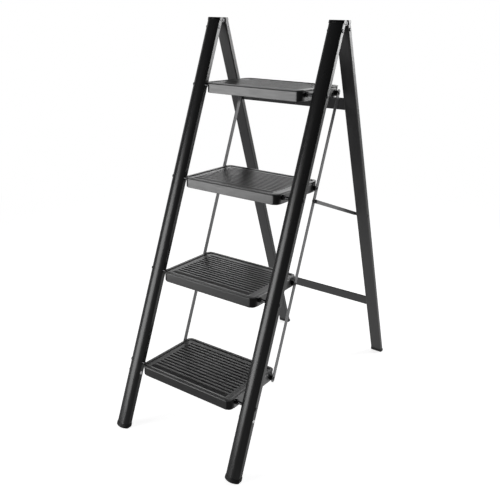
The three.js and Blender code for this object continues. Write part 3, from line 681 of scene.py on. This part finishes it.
def tray_mesh(name, width, front, back, top, bottom):
    """Pressed tray: ribbed deck, raised rounded lip, shadow line and skirt, in tread space."""
    r0 = TREAD_CORNER
    core_x = width / 2 - r0
    core_front, core_back = front + r0, back - r0
    deck = top - LIP_RISE
    lip = r0 - LIP_WIDTH
    xs = [-core_x, -core_x + 3]
    ends = [GROOVE_LENGTH / 2 - GROOVE_WIDTH / 2 * k for k in (0, 0.15, 0.3, 0.5, 0.7, 1)]
    xs += sorted(-e for e in ends)
    xs += [-90, -45, 0, 45, 90] + sorted(ends) + [core_x - 3, core_x]
    ys = [core_front, core_front + 2.5]
    for i in range(GROOVE_COUNT):
        middle = FIRST_GROOVE + i * GROOVE_PITCH
        half = [1, 0.87, 0.75, 0.6, 0.47, 0.35]
        ys += [middle + GROOVE_WIDTH / 2 * k for k in (*[-k for k in half], 0, *half)]
    ys = sorted(y for y in ys if core_front <= y < core_back - 0.5) + [core_back]
    verts, faces = [], []

    def grid(shift):
        start = len(verts)
        for y in ys:
            for x in xs:
                verts.append((x, y, deck - ridge_depth(x, y) + shift))
        for j in range(len(ys) - 1):
            for i in range(len(xs) - 1):
                a = start + j * len(xs) + i
                faces.append((a, a + 1, a + 1 + len(xs), a + len(xs)))
        edge = [start + i for i in range(len(xs))]
        edge += [start + j * len(xs) + len(xs) - 1 for j in range(1, len(ys))]
        edge += [start + (len(ys) - 1) * len(xs) + i for i in range(len(xs) - 2, -1, -1)]
        edge += [start + j * len(xs) for j in range(len(ys) - 2, 0, -1)]
        return edge

    arc_steps = 8

    def ring(radius, height):
        """Loop at that distance outside the core rectangle, corner arcs included."""
        start = len(verts)
        sag = FRONT_SAG * max(0.0, radius - lip - 2.2) if height > top - 1 else 0.0
        inside = height >= deck and radius > lip - 1.5
        tuck = 0.5 * max(0.0, lip + 2.2 - radius) if inside else 0.0

        def arc(cx, cy, quarter):
            for k in range(1, arc_steps):
                turn = math.pi / 2 * (quarter + k / arc_steps)
                ahead = max(0.0, -math.sin(turn))
                away = radius + tuck * ahead
                verts.append((cx + away * math.cos(turn), cy + away * math.sin(turn),
                              height - sag * ahead))

        for x in xs:
            verts.append((x, core_front - radius - tuck, height - sag))
        arc(core_x, core_front, -1)
        for y in ys:
            verts.append((core_x + radius, y, height))
        arc(core_x, core_back, 0)
        for x in reversed(xs):
            verts.append((x, core_back + radius, height))
        arc(-core_x, core_back, 1)
        for y in reversed(ys):
            verts.append((-core_x - radius, y, height))
        arc(-core_x, core_front, 2)
        return list(range(start, len(verts)))

    def bridge(a, b):
        for i in range(len(a)):
            j = (i + 1) % len(a)
            faces.append((a[i], a[j], b[j], b[i]))

    def join_deck(edge, loop):
        """Joins the deck's border to a loop; each deck corner fans out over one arc."""
        matched = []
        nx, ny = len(xs), len(ys)
        at = 0
        for count in (nx, ny, nx, ny):
            for k in range(count):
                matched.append(edge[(at + k) % len(edge)])
            at += count - 1
            matched += [edge[at % len(edge)]] * (arc_steps - 1)
        for i in range(len(loop)):
            j = (i + 1) % len(loop)
            if matched[i] == matched[j]:
                faces.append((matched[i], loop[j], loop[i]))
            else:
                faces.append((matched[i], matched[j], loop[j], loop[i]))

    upper = [
        (2.6, deck), (lip - 1.4, deck), (lip - 0.5, deck + 0.12), (lip + 0.2, deck + 0.5),
        (lip + 0.8, top - 0.45), (lip + 1.4, top - 0.12), (lip + 2.2, top),
        (r0 - 0.5, top), (r0 - 0.2, top - 0.07), (r0 - 0.05, top - 0.22), (r0, top - 0.45),
        (r0, top - 2.3), (r0 - 0.25, top - 2.7), (r0 - 2.2, top - 2.9), (r0 - 2.4, top - 3.15),
        (r0 - 1.12, top - 4.75), (r0 - 1.03, top - 5.2), (r0 - 1.0, top - 6.0),
        (r0 - 1.0, bottom + 1.2),
        (r0 - 1.3, bottom + 0.35), (r0 - 1.9, bottom),
    ]
    inner = r0 - 1.0 - SKIRT_WALL
    lower = [
        (inner + 0.2, bottom + 0.1), (inner, bottom + 0.6), (inner, top - 7.6),
        (inner - 1.2, top - 6.4), (inner - 1.4, top - 4.2), (inner - 2.4, deck - DECK_THICK),
        (lip - 1.4, deck - DECK_THICK),
    ]
    edge = grid(0.0)
    previous = ring(*upper[0])
    join_deck(edge, previous)
    for radius, height in upper[1:] + lower:
        current = ring(radius, height)
        bridge(previous, current)
        previous = current
    join_deck(grid(-DECK_THICK), previous)
    return verts, faces


def corner_cutters(width, front, back, bottom, ceiling, along_front, along_side, space):
    """Boxes over the four corners below the rim."""
    boxes = []
    for way in (-1, 1):
        x0, x1 = sorted((way * (width / 2 - along_front), way * (width / 2 + 3)))
        boxes.append(box_piece("cutter", x0, x1, front - 3, front + along_side,
                               bottom - 3, ceiling, space))
        boxes.append(box_piece("cutter", x0, x1, back - along_side, back + 3,
                               bottom - 3, ceiling, space))
    return boxes


def plate(name, width, front, back, inset, low, high, space, round_low=0.0):
    """Rounded rectangular plate in tread space, its lower rim optionally rounded."""
    def outline(extra):
        radius = TREAD_CORNER - inset - extra
        x = width / 2 - inset - extra
        y0, y1 = front + inset + extra, back - inset - extra
        return rounded([(-x, y0, radius), (x, y0, radius), (x, y1, radius), (-x, y1, radius)], 8)

    loops = []
    if round_low:
        for k in range(4):
            turn = math.pi / 2 * k / 4
            loops.append(square_loop(outline(round_low * (1 - math.sin(turn))), 0,
                                     low + round_low * (1 - math.cos(turn))))
    loops.append(square_loop(outline(0), 0, low + round_low))
    loops.append(square_loop(outline(0), 0, high))
    return loft(name, loops, space)


tray_low, tray_high, _ = span("tread_1_tray")
TREAD_WIDTH = tray_high.x - tray_low.x
front_edge = tray_low.y - pins[0].y
back_edge = tray_high.y - pins[0].y
tread_top = tray_high.z - pins[0].z
tread_bottom = tray_low.z - pins[0].z
crank_box = span("tread_1_left_rear_pin")[2]
crank = Vector((0, crank_box.y - pins[0].y, crank_box.z - pins[0].z))
tray_verts, tray_faces = tray_mesh("tray", TREAD_WIDTH, front_edge, back_edge,
                                   tread_top, tread_bottom)
under_deck = tread_top - LIP_RISE - DECK_THICK

for number, pin in enumerate(pins, start=1):
    body = f"tread_{number}"
    space = Matrix.Translation((0, pin.y, pin.z))
    tray = as_object(f"tread_{number}_pan", tray_verts, tray_faces, space)
    boolean(tray, corner_cutters(TREAD_WIDTH, front_edge, back_edge, tread_bottom,
                                 tread_top - CORNER_DROP + 0.2, CORNER_FRONT, CORNER_SIDE,
                                 space), "DIFFERENCE")
    bores = [cross_rod("cutter", BOSS_RADIUS + 0.6, -TREAD_WIDTH, TREAD_WIDTH, y, z, space)
             for y, z in ((0, 0), (crank.y, crank.z))]
    boolean(tray, bores, "DIFFERENCE")
    finish_piece(tray, SKIRT_PAINT, body, [f"tread_{number}_tray"], smooth=40)

    for side, way in SIDES:
        keep = TREAD_WIDTH / 2 - SIDE_INSET - SKIRT_WALL - GAP - 4
        top = under_deck - GAP
        wall = plate(f"tread_{number}_{side}_end", TREAD_WIDTH, front_edge, back_edge,
                     SIDE_INSET + SKIRT_WALL + GAP, tread_bottom + GAP,
                     tread_top - BRACKET_DROP, space)
        x0, x1 = sorted((way * keep, way * TREAD_WIDTH))
        boolean(wall, [box_piece("cutter", x0, x1, front_edge - 9, back_edge + 9,
                                 tread_bottom - 9, top + 9, space)], "INTERSECT")
        corner = plate("corner", TREAD_WIDTH, front_edge, back_edge, SIDE_INSET,
                       tread_bottom, tread_top - CORNER_DROP, space, round_low=3.0)
        x0, x1 = sorted((way * (TREAD_WIDTH / 2 - CORNER_FRONT + GAP), way * TREAD_WIDTH))
        slabs = [box_piece("cutter", x0, x1, front_edge - 3, front_edge + CORNER_SIDE - GAP,
                           tread_bottom - 3, top, space)]
        slabs.append(box_piece("cutter", x0, x1, back_edge - CORNER_SIDE + GAP, back_edge + 3,
                               tread_bottom - 3, top, space))
        boolean(slabs[0], [slabs[1]], "UNION")
        boolean(corner, [slabs[0]], "INTERSECT")
        inner, outer = keep - 6, TREAD_WIDTH / 2 + BOSS_REACH
        bosses = []
        for y, z in ((0, 0), (crank.y, crank.z)):
            a, b = sorted((way * inner, way * outer))
            boss = cross_rod("boss", BOSS_RADIUS, a, b, y, z, space, 36)
            bosses.append(soften(boss, 0.8, 3))
        boolean(wall, [corner, *bosses], "UNION")
        boolean(wall, [
            cross_rod("cutter", PIN_RADIUS + GAP, -TREAD_WIDTH, TREAD_WIDTH, 0, 0, space),
            cross_rod("cutter", SMALL_PIN_RADIUS + GAP, -TREAD_WIDTH, TREAD_WIDTH,
                      crank.y, crank.z, space),
        ], "DIFFERENCE")
        finish_piece(wall, PLASTIC, body, [f"tread_{number}_{side}_bracket"])

        low, high, _ = span(f"tread_{number}_{side}_front_pin")
        start = min(abs(low.x), abs(high.x))
        rail_low, rail_high, _ = span("right_front_rail")
        seat = rail_high.x + HEAD_SEAT
        inside = rail_low.x - GAP
        link = abs(span(f"{side}_link_bar")[2].x) + LINK_HALF + GAP
        steps = [(start, PIN_RADIUS * 0.85), (start + 0.4, PIN_RADIUS), (link, PIN_RADIUS),
                 (link, SHOULDER_RADIUS - 0.4), (link + 0.4, SHOULDER_RADIUS),
                 (inside - 0.3, SHOULDER_RADIUS), (inside, SHOULDER_RADIUS - 0.3),
                 (inside, PIN_RADIUS), (seat, PIN_RADIUS),
                 *dome(seat, 1, height=FRONT_PIN_HEAD)]
        finish_piece(turned_pin(f"tread_{number}_{side}_front_rivet",
                                steps if way > 0 else mirror_steps(steps), 0, 0, space),
                     DARK_STEEL, body, [f"tread_{number}_{side}_front_pin"])
        low, high, _ = span(f"tread_{number}_{side}_rear_pin")
        start, tip = sorted((abs(low.x), abs(high.x)))
        seat = tip - HEAD_HEIGHT
        steps = [(start, SMALL_PIN_RADIUS * 0.85), (start + 0.4, SMALL_PIN_RADIUS),
                 (seat, SMALL_PIN_RADIUS), *dome(seat, 1)]
        finish_piece(turned_pin(f"tread_{number}_{side}_rear_rivet",
                                steps if way > 0 else mirror_steps(steps), crank.y, crank.z, space),
                     DARK_STEEL, body, [f"tread_{number}_{side}_rear_pin"])


# ---- Link bars and spreaders ------------------------------------------------------------------
def flat_bar(name, x0, x1, ends, holes, depth, overrun, space):
    """Flat bar in a frame whose z runs along it: rounded ends, eased edges, drilled holes."""
    half = depth / 2
    ring = []
    for start, centre in ((0, ends[1] + overrun), (math.pi, ends[0] - overrun)):
        for i in range(17):
            turn = start + math.pi * i / 16
            ring.append((half * math.cos(turn), centre + half * math.sin(turn)))
    obj = loft(name, [[(x, a, b) for a, b in ring] for x in (x0, x1)], space)
    soften(obj, 0.45, 2)
    cutters = [cross_rod("cutter", SMALL_PIN_RADIUS + GAP, x0 - 5, x1 + 5, 0, z, space)
               for z in holes]
    return boolean(obj, cutters, "DIFFERENCE")


for side, way in SIDES:
    top_pivot = spot(f"{side}_link_swing")
    drop = spot(f"{side}_spreader_swing")
    link_space = Matrix.Translation((0, top_pivot.y, top_pivot.z)) @ Matrix.Rotation(
        -RAIL_ANGLE, 4, "X")
    pitch = (pins[1] - pins[0]).length
    low, high, _ = span(f"{side}_link_bar")
    holes = [-pitch * i for i in range(4)]
    holes.append(local(link_space, (0, drop.y, drop.z)).z)
    bar = flat_bar(f"{side}_link_strip", low.x, high.x, (-3 * pitch, 0), holes,
                   LINK_DEPTH, LINK_OVERRUN, link_space)
    finish_piece(bar, BAR_PAINT, f"{side}_link", [f"{side}_link_bar"])

    low, high, _ = span(f"{side}_spreader_bar")
    far = span(f"{side}_spreader_stud")[2]
    run = Vector((0, far.y - drop.y, far.z - drop.z))
    spread_space = Matrix.Translation((0, drop.y, drop.z)) @ Matrix.Rotation(
        math.atan2(-run.y, run.z), 4, "X")
    bar = flat_bar(f"{side}_spreader_strip", low.x, high.x, (0, run.length),
                   [0, run.length], SPREADER_DEPTH, 0, spread_space)
    finish_piece(bar, BAR_PAINT, f"{side}_spreader", [f"{side}_spreader_bar"])

    pin_low, pin_high, _ = span(f"{side}_spreader_pin")
    start = min(abs(pin_low.x), abs(pin_high.x))
    link_low, link_high, _ = span(f"{side}_link_bar")
    link_in, link_out = sorted((abs(link_low.x), abs(link_high.x)))
    bar_in, bar_out = sorted((abs(low.x), abs(high.x)))
    steps = [(start, HEAD_RADIUS * 0.8), (start + 0.6, HEAD_RADIUS), (link_in - GAP, HEAD_RADIUS),
             (link_in - GAP, SMALL_PIN_RADIUS), (link_out + GAP, SMALL_PIN_RADIUS),
             (link_out + GAP, HEAD_RADIUS), (bar_in - GAP, HEAD_RADIUS),
             (bar_in - GAP, SMALL_PIN_RADIUS), (bar_out + GAP, SMALL_PIN_RADIUS),
             *dome(bar_out + GAP, 1, HEAD_RADIUS + 0.9, 1.4)]
    finish_piece(turned_pin(f"{side}_spreader_rivet", steps if way > 0 else mirror_steps(steps),
                            drop.y, drop.z),
                 BLACK_STEEL, f"{side}_spreader", [f"{side}_spreader_pin"])


# ---- Studio --------------------------------------------------------------------------------
FLOOR_LIFT = 0.8
ROOM = 0.02
PAPER = 1.1
PAPER_TOP = 0.12
WINDOW = 0.12
CAMERA_PLACE = (0.9752, -1.4777, 1.0777)
CAMERA_DEGREES = (34.26, 18.22, 1.45)


def ranged(tree, value, a, b, low, high, smooth=True):
    node = tree.nodes.new("ShaderNodeMapRange")
    node.interpolation_type = "SMOOTHSTEP" if smooth else "LINEAR"
    node.inputs["From Min"].default_value = a
    node.inputs["From Max"].default_value = b
    node.inputs["To Min"].default_value = low
    node.inputs["To Max"].default_value = high
    tree.links.new(value, node.inputs["Value"])
    return node.outputs["Result"]


def times(tree, a, b):
    node = tree.nodes.new("ShaderNodeMath")
    node.operation = "MULTIPLY"
    tree.links.new(a, node.inputs[0])
    tree.links.new(b, node.inputs[1])
    return node.outputs["Value"]


def camera_ray(tree):
    return tree.nodes.new("ShaderNodeLightPath").outputs["Is Camera Ray"]


def choose(tree, factor, value, number):
    """The value where the factor is 0, the number where it is 1."""
    node = tree.nodes.new("ShaderNodeMix")
    node.data_type = "FLOAT"
    tree.links.new(factor, node.inputs["Factor"])
    tree.links.new(value, node.inputs["A"])
    node.inputs["B"].default_value = number
    return node.outputs["Result"]


def pale_floor():
    """White floor that fades into the white backdrop; it keeps only a soft contact shadow."""
    mesh = bpy.data.meshes.new("floor")
    size = 30.0
    mesh.from_pydata([(-size, -size, 0), (size, -size, 0), (size, size, 0), (-size, size, 0)],
                     [], [(0, 1, 2, 3)])
    floor = bpy.data.objects.new("floor", mesh)
    floor.location.z = -0.0005
    bpy.context.scene.collection.objects.link(floor)
    material = bpy.data.materials.new("floor_paint")
    material.use_nodes = True
    tree = material.node_tree
    tree.nodes.clear()
    paint = tree.nodes.new("ShaderNodeBsdfDiffuse")
    tone = tree.nodes.new("ShaderNodeMix")
    tone.data_type = "RGBA"
    tree.links.new(camera_ray(tree), tone.inputs["Factor"])
    tone.inputs["A"].default_value = (0.4, 0.4, 0.4, 1)
    tone.inputs["B"].default_value = (0.8, 0.8, 0.8, 1)
    tree.links.new(tone.outputs["Result"], paint.inputs["Color"])
    place = tree.nodes.new("ShaderNodeTexCoord")
    split = tree.nodes.new("ShaderNodeSeparateXYZ")
    tree.links.new(place.outputs["Object"], split.inputs[0])
    near = ranged(tree, split.outputs["Y"], -0.6, 0.05, 0.06, 0.56)
    beyond = ranged(tree, split.outputs["Y"], 0.3, 1.3, 1.0, 0.85)
    beside = times(tree, ranged(tree, split.outputs["X"], 0.15, 0.28, 0, 1),
                   ranged(tree, split.outputs["Y"], -0.2, 0.3, 1.2, 0))
    lifted = tree.nodes.new("ShaderNodeMath")
    lifted.operation = "ADD"
    lifted.inputs[0].default_value = 1.0
    tree.links.new(beside, lifted.inputs[1])
    glow = times(tree, times(tree, near, beyond), lifted.outputs["Value"])
    lit = tree.nodes.new("ShaderNodeEmission")
    tree.links.new(choose(tree, camera_ray(tree), glow, FLOOR_LIFT), lit.inputs["Strength"])
    both = tree.nodes.new("ShaderNodeAddShader")
    tree.links.new(paint.outputs["BSDF"], both.inputs[0])
    tree.links.new(lit.outputs["Emission"], both.inputs[1])
    white = tree.nodes.new("ShaderNodeEmission")
    away = tree.nodes.new("ShaderNodeVectorMath")
    away.operation = "LENGTH"
    tree.links.new(place.outputs["Object"], away.inputs[0])
    far = ranged(tree, away.outputs["Value"], 0.8, 2.6, 0, 1)
    fade = tree.nodes.new("ShaderNodeMixShader")
    tree.links.new(times(tree, far, camera_ray(tree)), fade.inputs["Fac"])
    tree.links.new(both.outputs["Shader"], fade.inputs[1])
    tree.links.new(white.outputs["Emission"], fade.inputs[2])
    output = tree.nodes.new("ShaderNodeOutputMaterial")
    tree.links.new(fade.outputs["Shader"], output.inputs["Surface"])
    mesh.materials.append(material)
    floor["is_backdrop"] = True


def soft_light(name, place, target, width, height, radiance):
    """Softbox of that brightness, hidden from the camera itself."""
    data = bpy.data.lights.new(name, "AREA")
    data.shape = "RECTANGLE"
    data.size, data.size_y = width, height
    data.energy = radiance * math.pi * width * height
    light = bpy.data.objects.new(name, data)
    light.location = place
    light.rotation_euler = (Vector(target) - Vector(place)).to_track_quat("-Z", "Y").to_euler()
    light.visible_camera = False
    bpy.context.scene.collection.objects.link(light)
    return light


def backdrop():
    """White paper backdrop behind the ladder, dim room in front; plain white to the camera."""
    world = bpy.data.worlds.new("studio")
    world.use_nodes = True
    tree = world.node_tree
    back = tree.nodes["Background"]
    back.inputs["Color"].default_value = (1, 1, 1, 1)
    place = tree.nodes.new("ShaderNodeTexCoord")
    facing = tree.nodes.new("ShaderNodeVectorMath")
    facing.operation = "DOT_PRODUCT"
    tree.links.new(place.outputs["Generated"], facing.inputs[0])
    facing.inputs[1].default_value = (-0.563, 0.826, 0)
    rise = tree.nodes.new("ShaderNodeSeparateXYZ")
    tree.links.new(place.outputs["Generated"], rise.inputs[0])
    behind = ranged(tree, facing.outputs["Value"], 0.4, 0.9, ROOM, PAPER)
    height = ranged(tree, rise.outputs["Z"], 0.15, 0.5, 1.0, PAPER_TOP)
    paper = times(tree, behind, height)
    beside = ranged(tree, facing.outputs["Value"], -0.95, -0.7, WINDOW, 0)
    low = ranged(tree, rise.outputs["Z"], 0.24, 0.36, 1, 0)
    glow = tree.nodes.new("ShaderNodeMath")
    glow.operation = "ADD"
    tree.links.new(paper, glow.inputs[0])
    tree.links.new(times(tree, beside, low), glow.inputs[1])
    tree.links.new(choose(tree, camera_ray(tree), glow.outputs["Value"], 1.0),
                   back.inputs["Strength"])
    bpy.context.scene.world = world


def place_camera():
    azimuth, elevation, roll = map(math.radians, CAMERA_DEGREES)
    data = bpy.data.cameras.new("camera")
    data.sensor_width = 36
    data.lens = 46.54
    data.shift_x = -0.0196
    data.shift_y = -0.0349
    camera = bpy.data.objects.new("camera", data)
    back = Vector((math.sin(azimuth) * math.cos(elevation),
                   -math.cos(azimuth) * math.cos(elevation), math.sin(elevation)))
    right = (-back).cross(Vector((0, 0, 1))).normalized()
    up = back.cross(right)
    tilted = right * math.cos(roll) + up * math.sin(roll)
    risen = up * math.cos(roll) - right * math.sin(roll)
    turn = Matrix((tilted, risen, back)).transposed()
    camera.matrix_world = Matrix.Translation(CAMERA_PLACE) @ turn.to_4x4()
    bpy.context.scene.collection.objects.link(camera)
    bpy.context.scene.camera = camera


pale_floor()
backdrop()
soft_light("front_left_softbox", (-1.24, -1.72, 0.68), (0, -0.2, 0.66), 1.2, 1.35, 4.8)
soft_light("back_right_softbox", (1.75, 2.3, 1.25), (0.1, 0, 0.9), 1.2, 1.0, 9.0)
soft_light("back_left_softbox", (-1.6, 2.3, 1.12), (0, 0, 0.7), 1.7, 0.6, 2.3)
soft_light("overhead_softbox", (0.2, 0.5, 3.2), (0, 0, 0), 2.4, 2.4, 0.6)
place_camera()
bpy.context.scene.view_settings.view_transform = "Standard"

low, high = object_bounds()
